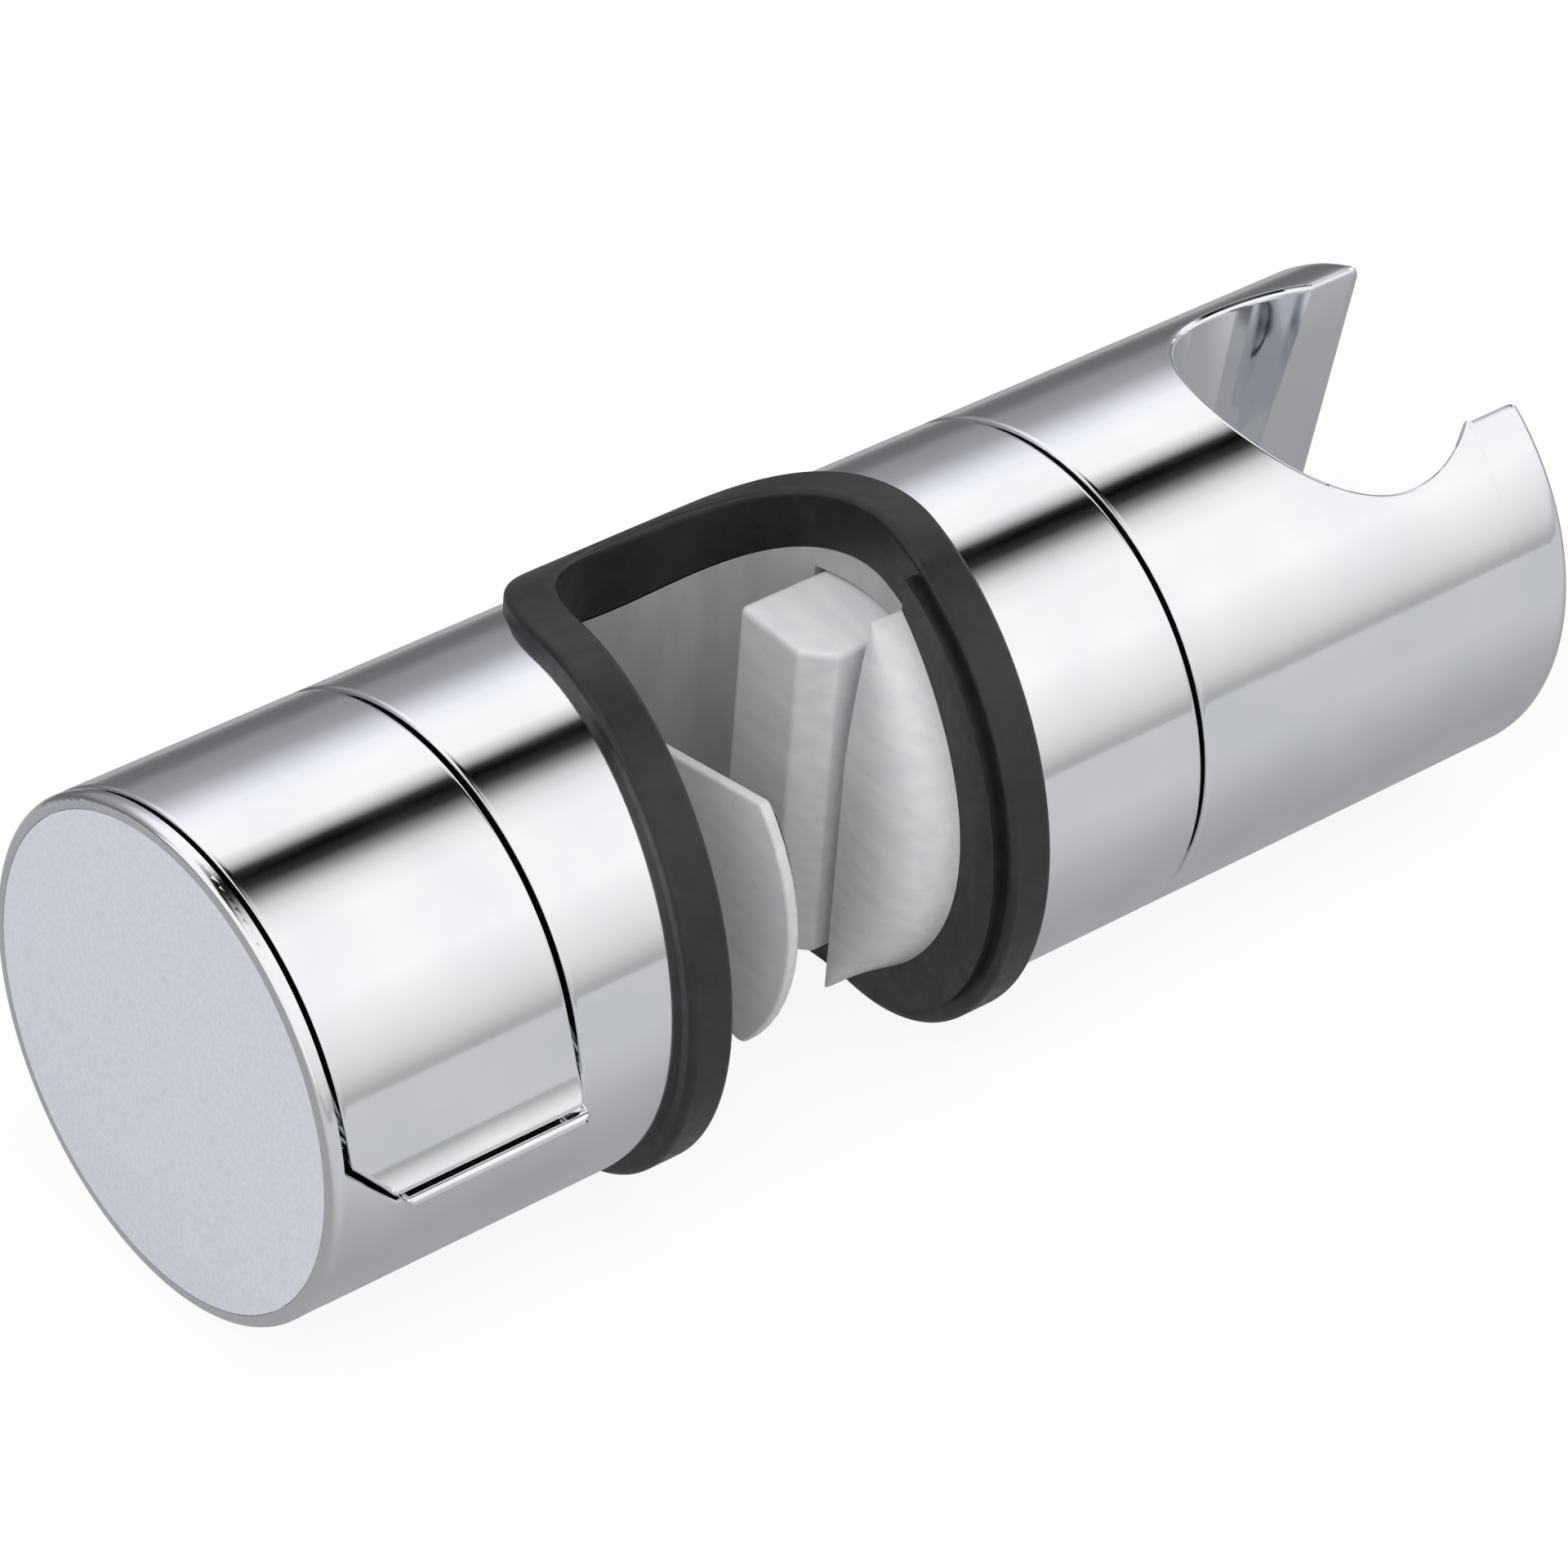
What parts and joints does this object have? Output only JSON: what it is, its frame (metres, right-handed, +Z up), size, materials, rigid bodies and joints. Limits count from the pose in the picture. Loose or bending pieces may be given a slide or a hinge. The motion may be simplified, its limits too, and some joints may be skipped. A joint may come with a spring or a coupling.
{
  "type": "shower rail slider",
  "caption": "Round slider for a shower riser rail: a lever-released clamp with a sprung pad, and a swivelling end with a tapered handset cup and a hose slot.",
  "frame": {"origin": "on the axis of the rail mouth's round back, at the body's mid height", "axes": "+X along the round body from the lever end to the handset cup, +Z up along the rail, the rail comes in from -Y"},
  "size_m": [0.1184, 0.0419, 0.0428],
  "materials": {
    "chrome_plate": "polished chrome plate on moulded plastic",
    "satin_disc": "satin",
    "black_edging": "satin soft moulding",
    "grey_moulding": "satin",
    "pale_moulding": "satin",
    "black_rubber": "matte",
    "steel": "zinc plated",
    "white_washer": "smooth"
  },
  "bodies": {
    "body": {"body_shell": "chrome_plate", "end_cap": "chrome_plate", "cap_disc": "satin_disc", "cap_screw": "steel", "lever_pin": "steel", "rail_edging": "black_edging", "clamp_core": "grey_moulding", "core_screws": "steel", "fixed_cheek": "pale_moulding", "pad_spring": "steel", "guide_pins": "steel", "return_springs": "steel", "swivel_hub": "grey_moulding", "hub_screws": "steel", "stop_pin": "steel", "friction_ring": "black_rubber", "wave_washer": "steel", "pivot_screw": "steel"},
    "lever": {"lever": "chrome_plate"},
    "jaw": {"clamp_jaw": "pale_moulding", "jaw_facing": "black_rubber", "jaw_carriage": "grey_moulding", "jaw_screw": "steel"},
    "pad": {"pressure_pad": "pale_moulding"},
    "cradle": {"cradle": "chrome_plate", "thrust_washer": "white_washer"}
  },
  "joints": [
    {"name": "lever_lift", "type": "hinge", "parent": "body", "child": "lever", "pos_m": [-0.0391, 0.0173, -0.0024], "axis": [-1, 0, 0], "range_deg": [0, 30]},
    {"name": "jaw_slide", "type": "slide", "parent": "body", "child": "jaw", "axis": [-1, 0, 0], "range_m": [0, 0.0067], "deforming": ["return_springs"]},
    {"name": "pad_press", "type": "slide", "parent": "body", "child": "pad", "axis": [1, 0, 0], "range_m": [0, 0.008], "stiffness_N_per_m": 1200, "springref_m": -0.002, "deforming": ["pad_spring"]},
    {"name": "cradle_swivel", "type": "hinge", "parent": "body", "child": "cradle", "pos_m": [0.034, 0, 0], "axis": [1, 0, 0], "range_deg": [-68, 52]}
  ],
  "couplings": [
    {"joint": "jaw_slide", "follows": "lever_lift", "m_per_rad": 0.01279}
  ]
}
